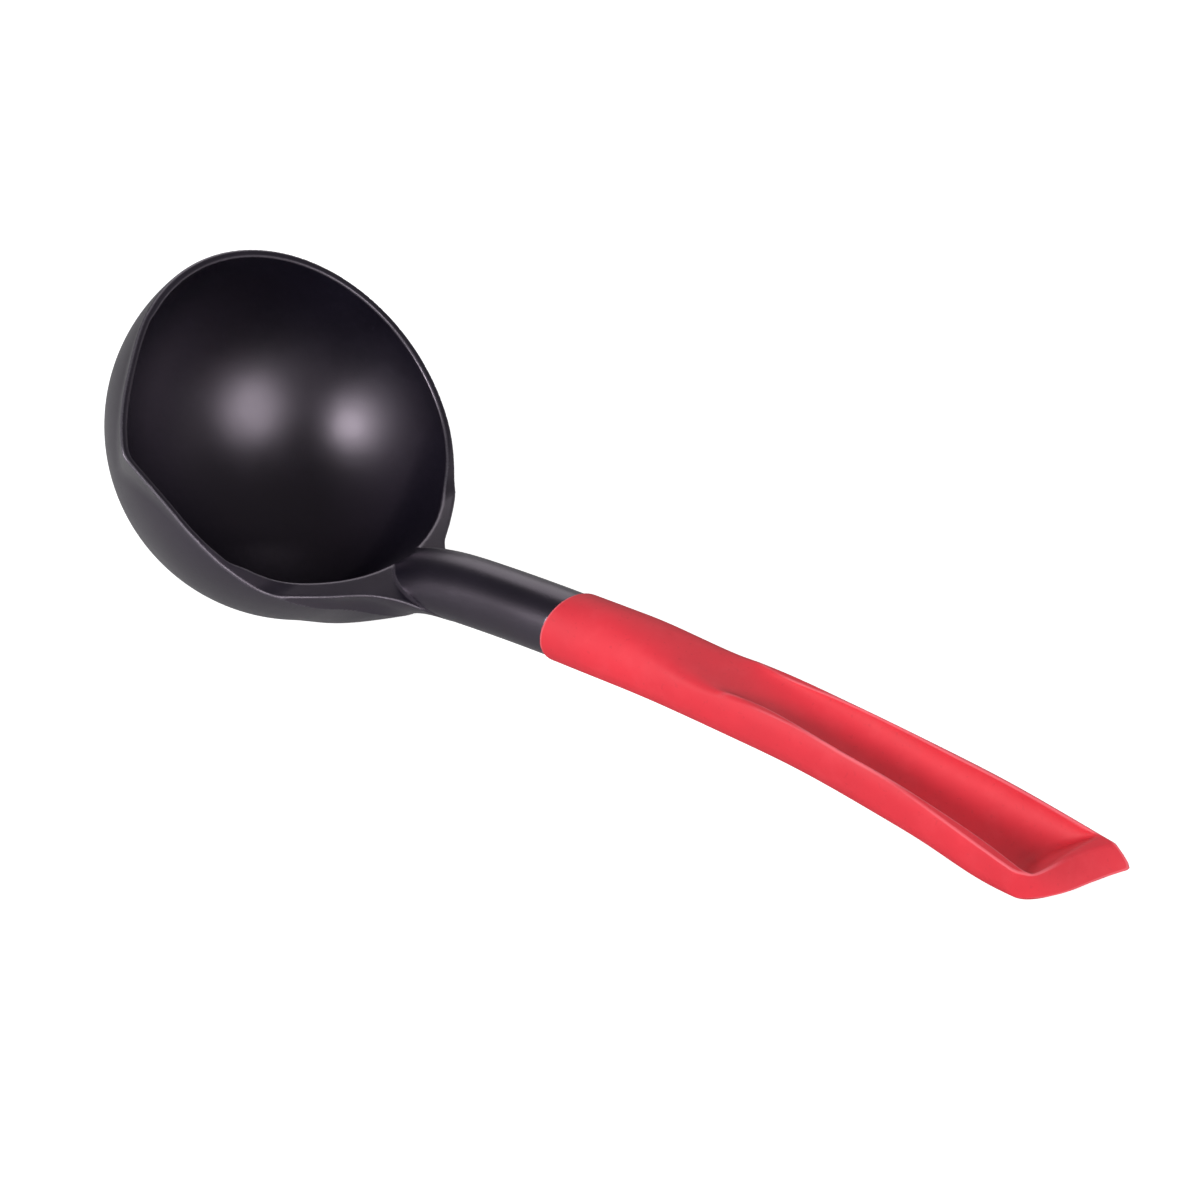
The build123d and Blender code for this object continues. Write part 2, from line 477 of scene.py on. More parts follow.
def tang_and_keys():
    """The tang's swept line and the heights of its key holes."""
    line = swept_line(TANG, MOUTH)
    return line, line(np.array([MOUTH + x for x in KEY_POSITIONS]))[0]


# ---------------------------------------------------------------- body of the head
def spout_outline():
    """Angle and radius of the spout's plan, faded away beyond the ends of its sector."""
    front = np.array(SPOUT_FRONT + [SPOUT_TIP])
    back = np.array([SPOUT_TIP] + SPOUT_BACK)
    angles = []
    radii = []
    for side in (front, back):
        run = np.concatenate([[0], np.cumsum(np.hypot(*np.diff(side, axis=0).T))])
        fine = np.linspace(0, run[-1], SIDE_STEPS)
        px = smooth_line(run, side[:, 0])(fine)
        qx = smooth_line(run, side[:, 1])(fine)
        angles.append(np.arctan2(qx, px))
        radii.append(np.hypot(px, qx))
    angle = np.concatenate(angles)
    radius = np.concatenate(radii)
    angle, order = np.unique(np.round(angle, 9), return_index=True)
    radius = radius[order]
    ends = [angle[0] - SPOUT_FADE, angle[-1] + SPOUT_FADE]
    angle = np.concatenate([[ends[0]], angle, [ends[1]]])
    faded = [radius[0] - SPOUT_FADE_DEPTH, radius[-1] - SPOUT_FADE_DEPTH]
    radius = np.concatenate([[faded[0]], radius, [faded[1]]])
    fine = np.linspace(angle[0], angle[-1], PLAN_STEPS)
    plan = np.interp(fine, angle, radius)
    reach = np.arange(-SOFTENING_STEPS, SOFTENING_STEPS + 1)
    weight = np.exp(-0.5 * (reach * (fine[1] - fine[0]) / SPOUT_TIP_SOFTNESS) ** 2)
    softened = slice(SOFTENING_STEPS, -SOFTENING_STEPS)
    plan[softened] = np.convolve(plan, weight / weight.sum(), "valid")
    return fine, plan


def head_body(bowl):
    """The head as a function that is below zero inside the nylon."""
    radius = bowl.rim_radius / MM
    inner = radius - bowl.wall / MM
    edge = bowl.rim_rounding / MM
    fillet = bowl.neck_fillet / MM
    centre_x = HEAD_LOW.x + radius
    centre_y = HEAD_HIGH.y - radius
    centre_z = HEAD_LOW.z + radius - bowl.belly_flat / MM
    lean_c, lean_s = math.cos(bowl.tilt), math.sin(bowl.tilt)
    plan_angle, plan_radius = spout_outline()
    plan_rate = np.abs(np.gradient(plan_radius, plan_angle)) / plan_radius
    plan_stretch = np.sqrt(1 + np.minimum(plan_rate, SPOUT_STEEPEST) ** 2)
    neck_line = swept_line(NECK)
    tang_line, key_heights = tang_and_keys()
    inside_scale = 1 - SPOUT_WALL / math.hypot(*SPOUT_TIP)

    def spout(angle, across, h, scale, shrink):
        """Distance from the tapering spout, for a share of its plan."""
        plan = np.interp(angle, plan_angle, plan_radius)
        stretch = np.interp(angle, plan_angle, plan_stretch)
        taper = 1 + np.clip(h, -SPOUT_DROP, 0) / SPOUT_DROP * (1 - shrink)
        side = (across - plan * scale * taper) / stretch
        return np.maximum(side, -SPOUT_DROP - h)

    def body(x, y, z):
        x = x - centre_x
        y = y - centre_y
        lift = z - centre_z
        p = x * lean_c - lift * lean_s
        h = x * lean_s + lift * lean_c
        q = -y
        across = np.hypot(p, q)
        angle = np.arctan2(q, p)
        ball = np.sqrt(across * across + h * h) - radius
        foot = 1 - np.clip(h / (COLLAR_FOOT_SHARE * COLLAR_FOOT), 0, 1)
        ring = across - (radius - COLLAR_LEAN * (1 - foot * foot))
        shell = np.where(h < 0, ball, ring)
        shell = either(shell, spout(angle, across, h, 1.0, SPOUT_SHRINK), SPOUT_BLEND)
        centre, width, upright = neck_line(x)
        neck = rounded_section(y, z - centre, width, upright, ROUND)
        neck = both(neck, mouth_side(x, y) - NECK_TUCK, NECK_END_BLEND)
        neck = np.maximum(neck, NECK[0][0] - x)
        spread = GUSSET_FILLET * (1 + GUSSET_SIDE * np.clip(q / GUSSET_REACH, -1, 1))
        shell = either(shell, neck, spread)
        climb = (p - COLLAR_START) * COLLAR_SLOPE + q * COLLAR_SIDE_SLOPE
        ramp = both(climb, 0 * p, COLLAR_BLEND)
        guard = np.hypot(p - LEDGE_CENTRE[0], q - LEDGE_CENTRE[1]) - LEDGE_RADIUS
        dip = LEDGE_DIP * np.maximum(guard, 0)
        head = both(shell, h - ramp + dip, edge)
        head = either(head, neck, fillet)
        centre, width, upright = tang_line(x)
        tang = rounded_section(y, z - centre, width, upright, TANG_SQUARENESS)
        ends = np.maximum(MOUTH + TANG[0][0] - x, x - MOUTH - TANG[-1][0])
        tang = both(tang, ends, TANG_END_BLEND)
        head = np.minimum(head, tang)
        for place, height in zip(KEY_POSITIONS, key_heights):
            hole = KEY_RADIUS - np.hypot(x - MOUTH - place, z - height)
            head = np.maximum(head, np.where(x > MOUTH + KEY_ZONE, hole, FAR_INSIDE))
        well = np.where(h < 0, np.sqrt(across * across + h * h), across) - inner
        hollow = both(well, guard, LEDGE_BLEND)
        gutter = spout(angle, across, h, inside_scale, SPOUT_SHRINK_INSIDE)
        hollow = either(hollow, gutter, SPOUT_BLEND_INSIDE)
        head = both(head, -hollow, edge)
        return both(head, -z, FOOT_BLEND)

    return body


# ---------------------------------------------------------------- body of the grip
def end_lines():
    """The slanted end's two lines, at the lips and at the foot, as x over y."""
    top = smooth_line([y for _, y in END_TOP], [x for x, _ in END_TOP])
    foot = smooth_line([y for _, y in END_FOOT], [x for x, _ in END_FOOT])
    return top, foot


def grip_body(sizes):
    """The grip as a function that is below zero inside the red plastic."""
    grip_line = swept_line(GRIP, MOUTH)
    grip_squareness = column(GRIP, 4, MOUTH)
    lips_line = column(LIPS, 1, MOUTH)
    trough_lines = [column(TROUGH, i, MOUTH) for i in (1, 2, 3, 4)]
    tang_line, key_heights = tang_and_keys()
    top_line, foot_line = end_lines()
    softness = column(LIP_SOFTNESS, 1, MOUTH)
    edge_round = sizes.lip_rounding / MM
    mouth_round = sizes.mouth_rounding / MM

    def body(x, y, z):
        centre, width, upright = grip_line(x)
        grip = rounded_section(y, z - centre, width, upright, grip_squareness(x))
        grip = both(grip, FIT_CLEARANCE - mouth_side(x, y), mouth_round)
        lips = lips_line(x)
        lip_round = softness(x) * (edge_round / LIP_SOFTNESS[-1][1])
        slope = slope_along(lips_line, x)
        flat = 1 / np.sqrt(1 + slope * slope)
        grip = both(grip, (z - lips) * flat, lip_round)
        top = top_line(y) + MOUTH
        foot = foot_line(y) + MOUTH
        share = np.clip((z - END_FOOT_HEIGHT) / (END_TOP_HEIGHT - END_FOOT_HEIGHT), 0, 1)
        end = foot + (top - foot) * share
        end = end - np.maximum(END_FOOT_HEIGHT - z, 0) * END_UNDERCUT_SLOPE
        turn = slope_along(foot_line, y)
        end_face = (x - end) / np.sqrt(1 + turn * turn)
        grip = both(grip, end_face, edge_round)
        depth, half, squareness, shift = (line(x) for line in trough_lines)
        hollow = rounded_section(y - shift, (z - lips) * flat, half, depth, squareness)
        inside = top - END_WALL - np.maximum(END_TOP_HEIGHT - z, 0) * END_WALL_SLOPE
        wall = (x - inside) / math.sqrt(1 + END_WALL_SLOPE**2)
        hollow = both(hollow, wall, END_WALL_BLEND)
        grip = both(grip, -hollow, lip_round)
        centre, width, upright = tang_line(x)
        room = FIT_CLEARANCE
        socket = rounded_section(y, z - centre, width + room, upright + room, TANG_SQUARENESS)
        socket = np.maximum(socket, x - MOUTH - TANG[-1][0] - room)
        grip = np.maximum(grip, -socket)
        for place, height in zip(KEY_POSITIONS, key_heights):
            bar = np.hypot(x - MOUTH - place, z - height) - KEY_RADIUS + room
            grip = np.minimum(grip, np.maximum(bar, np.abs(y) - KEY_REACH))
        return both(grip, -z, FOOT_BLEND)

    return body


# ---------------------------------------------------------------- skin over a body
# cells along a block, how near to the skin its middle must be in blocks, and blocks at a time
BLOCK = 8
BLOCK_REACH = 1.35
PORTION = 1200
CORNERS = [(i, j, k) for i in (0, 1) for j in (0, 1) for k in (0, 1)]
CELL_EDGES = [
    (a, b)
    for a in range(8)
    for b in range(a + 1, 8)
    if sum(abs(CORNERS[a][n] - CORNERS[b][n]) for n in range(3)) == 1
]
# cells left free round the piece
MARGIN_LOW, MARGIN_HIGH = 1.7, 2.3
# steps for the slope, in millimetres
SLOPE_REACH = 0.02
SHADING_REACH = 0.04
LEAST_SLOPE = 0.05
# pulls onto the skin each time, and how often and how far the points are evened out
PULLS = 2
RELAXINGS = 3
RELAX_SHARE = 0.6
# layer of the mesh that holds how sharp its edges are, per millimetre
EDGE_LAYER = "edge"
EDGE_REACH = 0.6
SHARPEST = 2.0


def slope_of(body, points, reach=SLOPE_REACH):
    """Value and slope of the body at the points."""
    value = body(*points.T)
    slope = np.empty_like(points)
    for axis in range(3):
        step = np.zeros(3)
        step[axis] = reach
        ahead = body(*(points + step).T)
        behind = body(*(points - step).T)
        slope[:, axis] = (ahead - behind) / (2 * reach)
    return value, slope


def sharpness_of(body, points):
    """How sharply the skin bends: near 1 on an edge of 1 mm radius and near -1 in such a crease."""
    total = -6 * body(*points.T)
    for axis in range(3):
        step = np.zeros(3)
        step[axis] = EDGE_REACH
        total += body(*(points + step).T) + body(*(points - step).T)
    return np.clip(total / EDGE_REACH**2, -SHARPEST, SHARPEST)


def onto_skin(body, points, cell):
    """Moves points along the slope onto the skin, by a cell at most in each pull."""
    for _ in range(PULLS):
        value, slope = slope_of(body, points)
        size = np.maximum((slope * slope).sum(1), LEAST_SLOPE)
        move = slope * (value / size)[:, None]
        length = np.linalg.norm(move, axis=1)
        shorten = np.minimum(1, cell / np.maximum(length, 1e-9))
        points = points - move * shorten[:, None]
    return points


def near_blocks(body, low, high, cell):
    """Grid corners of the blocks of cells that the skin may pass through."""
    size = BLOCK * cell
    counts = np.ceil((high - low) / size).astype(int)
    grid = np.stack(np.meshgrid(*[np.arange(n) for n in counts], indexing="ij"), -1).reshape(-1, 3)
    middle = low + (grid + 0.5) * size
    return grid[np.abs(body(*middle.T)) < BLOCK_REACH * size], counts


def skin_cells(body, low, cell, blocks, counts):
    """Cells that the skin passes through: their ids, corner values and grid places."""
    ramp = np.arange(BLOCK + 1)
    local = np.stack(np.meshgrid(ramp, ramp, ramp, indexing="ij"), -1).reshape(-1, 3)
    ids, values, places = [], [], []
    for start in range(0, len(blocks), PORTION):
        part = blocks[start : start + PORTION]
        corner = part[:, None, :] * BLOCK + local[None, :, :]
        points = low + corner.reshape(-1, 3) * cell
        level = body(*points.T).reshape(-1, BLOCK + 1, BLOCK + 1, BLOCK + 1)
        inside = level < 0
        total = np.zeros((len(part), BLOCK, BLOCK, BLOCK), int)
        for i, j, k in CORNERS:
            total += inside[:, i : i + BLOCK, j : j + BLOCK, k : k + BLOCK]
        b, i, j, k = np.nonzero((total > 0) & (total < 8))
        place = part[b] * BLOCK + np.stack([i, j, k], 1)
        places.append(place)
        values.append(np.stack([level[b, i + u, j + v, k + w] for u, v, w in CORNERS], 1))
    places = np.concatenate(places)
    values = np.concatenate(values)
    span = counts * BLOCK + 2
    ids = ((places[:, 0] + 1) * span[1] + places[:, 1] + 1) * span[2] + places[:, 2] + 1
    order = np.argsort(ids)
    return ids[order], values[order], places[order], span


def first_points(values, places, low, cell):
    """One point in each cell, at the middle of the places where the skin crosses its edges."""
    corners = np.array(CORNERS, float)
    total = np.zeros((len(values), 3))
    number = np.zeros(len(values))
    for a, b in CELL_EDGES:
        one, two = values[:, a], values[:, b]
        cross = (one < 0) != (two < 0)
        share = np.where(cross, one / np.where(cross, one - two, 1), 0)
        point = corners[a] + share[:, None] * (corners[b] - corners[a])
        total += np.where(cross[:, None], point, 0)
        number += cross
    return low + (places + total / number[:, None]) * cell


def skin_faces(ids, values, span):
    """Four-sided faces between the points of neighbouring cells."""
    steps = (span[1] * span[2], span[2], 1)
    ends = (CORNERS.index((1, 0, 0)), CORNERS.index((0, 1, 0)), CORNERS.index((0, 0, 1)))
    faces = []
    for axis in range(3):
        one, two = (axis + 1) % 3, (axis + 2) % 3
        start, end = values[:, 0] < 0, values[:, ends[axis]] < 0
        own = np.nonzero(start != end)[0]
        near = ids[own] - steps[one]
        far = ids[own] - steps[two]
        across = near - steps[two]
        found = [np.searchsorted(ids, wanted) for wanted in (near, across, far)]
        found = [np.minimum(f, len(ids) - 1) for f in found]
        good = (ids[found[0]] == near) & (ids[found[1]] == across) & (ids[found[2]] == far)
        quad = np.stack([own, *found], 1)[good]
        flip = ~start[own][good]
        quad[flip] = quad[flip][:, ::-1]
        faces.append(quad)
    return np.concatenate(faces)


def relax(points, faces, share):
    """Moves each point part of the way to the middle of its neighbours."""
    total = np.zeros_like(points)
    number = np.zeros(len(points))
    for a in range(4):
        for b in ((a + 1) % 4, (a + 3) % 4):
            for axis in range(3):
                total[:, axis] += np.bincount(faces[:, a], points[faces[:, b], axis], len(points))
            number += np.bincount(faces[:, a], minlength=len(points))
    middle = total / np.maximum(number, 1)[:, None]
    return points + share * (middle - points)


def skin(body, low, high, cell):
    """Points and faces of the body's skin."""
    low = np.array(low, float) - MARGIN_LOW * cell
    high = np.array(high, float) + MARGIN_HIGH * cell
    blocks, counts = near_blocks(body, low, high, cell)
    ids, values, places, span = skin_cells(body, low, cell, blocks, counts)
    points = first_points(values, places, low, cell)
    faces = skin_faces(ids, values, span)
    points = onto_skin(body, points, cell)
    for _ in range(RELAXINGS):
        points = onto_skin(body, relax(points, faces, RELAX_SHARE), cell)
    return points, faces


def skin_piece(name, body, low, high, cell):
    """A mesh object over the body, shaded by the body's own slope, for a cell in metres."""
    cell = cell / MM * 1.0
    points, faces = skin(body, low, high, cell)
    points = np.clip(points, np.array(low), np.array(high))
    _, slope = slope_of(body, points, SHADING_REACH)
    slope /= np.maximum(np.linalg.norm(slope, axis=1), 1e-9)[:, None]
    mesh = bpy.data.meshes.new(name)
    mesh.vertices.add(len(points))
    mesh.vertices.foreach_set("co", (points * MM).ravel())
    mesh.loops.add(faces.size)
    mesh.loops.foreach_set("vertex_index", faces.ravel())
    mesh.polygons.add(len(faces))
    mesh.polygons.foreach_set("loop_start", np.arange(len(faces)) * 4)
    mesh.polygons.foreach_set("loop_total", np.full(len(faces), 4))
    mesh.update(calc_edges=True)
    mesh.validate()
    mesh.polygons.foreach_set("use_smooth", np.ones(len(mesh.polygons), bool))
    mesh.normals_split_custom_set_from_vertices(slope.tolist())
    layer = mesh.attributes.new(EDGE_LAYER, "FLOAT", "POINT")
    layer.data.foreach_set("value", sharpness_of(body, points))
    piece = bpy.data.objects.new(name, mesh)
    bpy.context.scene.collection.objects.link(piece)
    return piece


# ---------------------------------------------------------------- finishes
# scales of the noise patterns, per metre
NYLON_CLOUDS = 38.0
NYLON_SCUFFS = 420.0
NYLON_GRAIN = 2600.0
NYLON_FINE_GRAIN = 6200.0
RED_CLOUDS = 30.0
RED_PATCHES = 150.0
RED_SPECKS = 900.0
RED_GRAIN = 2400.0

# values of a cloud noise in its dark and in its light places
CLOUD_LOW, CLOUD_HIGH = 0.3, 0.7

# colours of the paler sharp edges, which are painted highlight with a little edge wear, and of the
# paler patches
NYLON_WEAR_AND_HIGHLIGHT = (0.14, 0.13, 0.15)
RED_WEAR_AND_HIGHLIGHT = (0.84, 0.20, 0.24)
RED_PALE = (0.84, 0.09, 0.11)

FLOOR_GREY = 0.60
FLOOR_GLOW = 0.86
WHITE = (1.0, 1.0, 1.0)

NYLON_SPECULAR = 0.9
NYLON_IOR = 1.6
NYLON_TINT = (0.98, 0.85, 1.0)
RED_SPECULAR = 0.5
RED_IOR = 1.5


class Recipe:
    """Shorthand for building a node material over the object's own coordinates."""

    def __init__(self, name):
        self.material = bpy.data.materials.new(name)
        self.material.use_nodes = True
        self.tree = self.material.node_tree
        self.tree.nodes.clear()
        self.out = self.tree.nodes.new("ShaderNodeOutputMaterial")
        self.place = self.tree.nodes.new("ShaderNodeTexCoord").outputs["Object"]

    def node(self, kind, **options):
        """A new node with these options."""
        made = self.tree.nodes.new(kind)
        for key, value in options.items():
            setattr(made, key, value)
        return made

    def link(self, source, target):
        """Joins an output to an input."""
        self.tree.links.new(source, target)

    def stretched(self, scale):
        """The object's coordinates, scaled along each axis."""
        made = self.node("ShaderNodeMapping")
        made.inputs["Scale"].default_value = scale
        self.link(self.place, made.inputs["Vector"])
        return made.outputs["Vector"]

    def noise(self, scale, detail, roughness, vector=None):
        """A noise pattern through the plastic."""
        made = self.node("ShaderNodeTexNoise")
        made.inputs["Scale"].default_value = scale
        made.inputs["Detail"].default_value = detail
        made.inputs["Roughness"].default_value = roughness
        self.link(vector or self.place, made.inputs["Vector"])
        return made.outputs["Fac"]

    def spread(self, source, low, high, to_low=0.0, to_high=1.0):
        """Carries the range from low to high smoothly over to another range."""
        made = self.node("ShaderNodeMapRange", interpolation_type="SMOOTHSTEP")
        made.inputs["From Min"].default_value = low
        made.inputs["From Max"].default_value = high
        made.inputs["To Min"].default_value = to_low
        made.inputs["To Max"].default_value = to_high
        self.link(source, made.inputs["Value"])
        return made.outputs["Result"]

    def scaled(self, source, factor):
        """The source times a number."""
        made = self.node("ShaderNodeMath", operation="MULTIPLY")
        self.link(source, made.inputs[0])
        made.inputs[1].default_value = factor
        return made.outputs["Value"]

    def added(self, a, b):
        """Two sources added up."""
        made = self.node("ShaderNodeMath", operation="ADD")
        self.link(a, made.inputs[0])
        self.link(b, made.inputs[1])
        return made.outputs["Value"]

    def blend(self, share, a, b):
        """From a to b by the share, where each is a plain colour or a source."""
        made = self.node("ShaderNodeMix", data_type="RGBA")
        self.link(share, made.inputs[0])
        for socket, value in ((made.inputs[6], a), (made.inputs[7], b)):
            if isinstance(value, tuple):
                socket.default_value = (*value, 1.0)
            else:
                self.link(value, socket)
        return made.outputs[2]

    def bump(self, height, strength, distance, under=None):
        """Fine relief over the surface, or over the relief under it."""
        made = self.node("ShaderNodeBump")
        made.inputs["Strength"].default_value = strength
        made.inputs["Distance"].default_value = distance
        self.link(height, made.inputs["Height"])
        if under is not None:
            self.link(under, made.inputs["Normal"])
        return made.outputs["Normal"]

    def edges(self, low, high):
        """1 where the sharpness reaches high, fading to 0 at low; creases are below zero."""
        made = self.node("ShaderNodeAttribute", attribute_name=EDGE_LAYER)
        return self.spread(made.outputs["Fac"], low, high)

    def plastic(self, colour, roughness, normal, specular, ior, tint):
        """The plastic's shader, joined to the material's output."""
        made = self.node("ShaderNodeBsdfPrincipled")
        self.link(colour, made.inputs["Base Color"])
        self.link(roughness, made.inputs["Roughness"])
        self.link(normal, made.inputs["Normal"])
        made.inputs["Specular IOR Level"].default_value = specular
        made.inputs["IOR"].default_value = ior
        made.inputs["Specular Tint"].default_value = (*tint, 1.0)
        self.link(made.outputs["BSDF"], self.out.inputs["Surface"])


def times(colour, factor):
    """A colour made lighter or darker."""
    return tuple(c * factor for c in colour)


def nylon_finish(finish):
    """Black moulded nylon: fine spark grain, faint flow clouds, light scuffs, dull creases, and
    sharp edges lightened as painted highlight with a little wear.
    """
    r = Recipe("black_nylon")
    colour = tuple(finish.nylon_colour)
    clouds = r.noise(NYLON_CLOUDS, 4.0, 0.55)
    grain = r.noise(NYLON_GRAIN, 2.0, 0.6)
    fine = r.noise(NYLON_FINE_GRAIN, 1.0, 0.5)
    scuffs = r.noise(NYLON_SCUFFS, 2.0, 0.6, r.stretched((1.0, 5.0, 1.6)))
    scuffs = r.spread(scuffs, 0.62, 0.72)
    cloudy = r.spread(clouds, CLOUD_LOW, CLOUD_HIGH)
    tone = r.blend(cloudy, times(colour, 0.78), times(colour, 1.22))
    tone = r.blend(r.scaled(scuffs, 0.25), tone, times(colour, 2.0))
    tone = r.blend(r.scaled(r.spread(fine, 0.45, 0.75), 0.35), tone, times(colour, 1.7))
    # sharp rims and edges lightened towards pale grey: painted highlight along the edges, with a
    # little edge wear
    tone = r.blend(r.scaled(r.edges(0.6, 1.8), 0.5), tone, NYLON_WEAR_AND_HIGHLIGHT)
    rough = finish.nylon_roughness
    dull = r.spread(clouds, CLOUD_LOW, CLOUD_HIGH, rough - 0.03, rough + 0.03)
    dull = r.added(dull, r.scaled(scuffs, 0.05))
    dull = r.added(dull, r.scaled(grain, 0.06))
    dull = r.added(dull, r.scaled(r.edges(-0.2, -1.0), 0.65))
    normal = r.bump(grain, 0.25, 0.00006)
    normal = r.bump(clouds, 0.05, 0.0006, normal)
    r.plastic(tone, dull, normal, NYLON_SPECULAR, NYLON_IOR, NYLON_TINT)
    return r.material


def grip_finish(finish):
    """Red soft-touch plastic: powdery grain, slow colour clouds, specks, and edges lightened as
    painted highlight with a little wear.
    """
    r = Recipe("red_grip")
    colour = tuple(finish.grip_colour)
    clouds = r.noise(RED_CLOUDS, 4.0, 0.55)
    patches = r.noise(RED_PATCHES, 3.0, 0.55)
    grain = r.noise(RED_GRAIN, 2.0, 0.6)
    specks = r.noise(RED_SPECKS, 1.0, 0.5)
    cloudy = r.spread(clouds, CLOUD_LOW, CLOUD_HIGH)
    tone = r.blend(cloudy, times(colour, 0.93), times(colour, 1.06))
    tone = r.blend(r.scaled(r.spread(patches, 0.45, 0.75), 0.12), tone, RED_PALE)
    tone = r.blend(r.scaled(r.spread(specks, 0.66, 0.74), 0.25), tone, times(colour, 0.7))
    # lips and sharp edges lightened towards pale pink: painted highlight along the edges, with a
    # little edge wear
    tone = r.blend(r.scaled(r.edges(0.5, 1.5), 0.45), tone, RED_WEAR_AND_HIGHLIGHT)
    rough = finish.grip_roughness
    dull = r.spread(clouds, CLOUD_LOW, CLOUD_HIGH, rough - 0.03, rough + 0.04)
    dull = r.added(dull, r.scaled(grain, 0.05))
    normal = r.bump(grain, 0.2, 0.00005)
    normal = r.bump(patches, 0.06, 0.0003, normal)
    r.plastic(tone, dull, normal, RED_SPECULAR, RED_IOR, WHITE)
    return r.material


def floor_finish():
    """Pale floor that the camera sees as white, with the ladle's shadow on it."""
    r = Recipe("floor_white")
    cloth = r.node("ShaderNodeBsdfDiffuse")
    cloth.inputs["Color"].default_value = (FLOOR_GREY, FLOOR_GREY, FLOOR_GREY, 1.0)
    glow = r.node("ShaderNodeEmission")
    glow.inputs["Color"].default_value = (*WHITE, 1.0)
    path = r.node("ShaderNodeLightPath")
    r.link(r.scaled(path.outputs["Is Camera Ray"], FLOOR_GLOW), glow.inputs["Strength"])
    add = r.node("ShaderNodeAddShader")
    r.link(cloth.outputs[0], add.inputs[0])
    r.link(glow.outputs[0], add.inputs[1])
    r.link(add.outputs[0], r.out.inputs["Surface"])
    return r.material


# ---------------------------------------------------------------- stage
# soft lamps: name, turn and height in degrees, distance, size, power in watts
LAMPS = [
    ("lamp_right", 70.0, 15.0, 1.1, 0.70, 5.0),
    ("lamp_left", -1.0, 25.0, 1.1, 0.40, 9.4),
    ("lamp_back", 205.0, 40.0, 1.4, 1.3, 5.6),
]
LAMP_AIM = (0.0, 0.0, 0.03)

SENSOR_WIDTH = 36.0
CLIP_NEAR, CLIP_FAR = 0.05, 20.0

FLOOR_RINGS = 3
FLOOR_SPOKES = 48
FLOOR_GAP = 0.0002

# tints of the room's light and of its reflection, and the upward parts of a direction between
# which the reflection fades from walls to ceiling
EVEN_COLOUR = (0.97, 0.98, 1.0)
MIRRORED_COLOUR = (1.0, 0.97, 1.0)
WALL_TOP, CEILING_EDGE = 0.05, 0.55


def away(turn, height):
    """Direction from the ladle outwards, at a turn round it from the front and a height angle."""
    return Vector(
        (
            math.cos(height) * math.sin(turn),
            -math.cos(height) * math.cos(turn),
            math.sin(height),
        )
    )


def lamp(name, turn, height, distance, size, power):
    """A soft round lamp turned towards the bowl, which the camera doesn't see."""
    data = bpy.data.lights.new(name, "AREA")
    data.shape = "DISK"
    data.size = size
    data.energy = power
    made = bpy.data.objects.new(name, data)
    outwards = away(math.radians(turn), math.radians(height))
    made.location = Vector(LAMP_AIM) + outwards * distance
    made.rotation_mode = "QUATERNION"
    made.rotation_quaternion = outwards.to_track_quat("Z", "Y")
    made.visible_camera = False
    bpy.context.scene.collection.objects.link(made)


def place_camera(stage):
    """The scene's camera, looking at the aimed point without roll."""
    back = away(stage.camera_turn, stage.camera_height)
    right = Vector((math.cos(stage.camera_turn), math.sin(stage.camera_turn), 0))
    up = back.cross(right)
    aim = Vector((stage.aim_x, 0, stage.aim_height))
    data = bpy.data.cameras.new("camera")
    data.sensor_width = SENSOR_WIDTH
    data.sensor_fit = "HORIZONTAL"
    data.lens = stage.lens
    data.clip_start = CLIP_NEAR
    data.clip_end = CLIP_FAR
    camera = bpy.data.objects.new("camera", data)
    turned = Matrix((right, up, back)).transposed().to_4x4()
    camera.matrix_world = Matrix.Translation(aim + back * stage.camera_distance) @ turned
    bpy.context.scene.collection.objects.link(camera)
    bpy.context.scene.camera = camera


def lay_floor(stage):
    """A round floor just under the ladle."""
    points = [(0.0, 0.0, 0.0)]
    faces = []
    for ring in range(1, FLOOR_RINGS + 1):
        reach = stage.floor_radius * ring / FLOOR_RINGS
        for spoke in range(FLOOR_SPOKES):
            a = 2 * math.pi * spoke / FLOOR_SPOKES
            points.append((reach * math.cos(a), reach * math.sin(a), 0.0))
    for spoke in range(FLOOR_SPOKES):
        after = (spoke + 1) % FLOOR_SPOKES
        faces.append((0, 1 + spoke, 1 + after))
        for ring in range(FLOOR_RINGS - 1):
            near = 1 + ring * FLOOR_SPOKES
            far = near + FLOOR_SPOKES
            faces.append((near + spoke, far + spoke, far + after, near + after))
    mesh = bpy.data.meshes.new("floor")
    mesh.from_pydata(points, [], faces)
    floor = bpy.data.objects.new("floor", mesh)
    middle = (Vector(MODEL_BOX[0]) + Vector(MODEL_BOX[1])) / 2
    floor.location = (middle.x, middle.y, MODEL_BOX[0][2] - FLOOR_GAP)
    floor.data.materials.append(floor_finish())
    bpy.context.scene.collection.objects.link(floor)


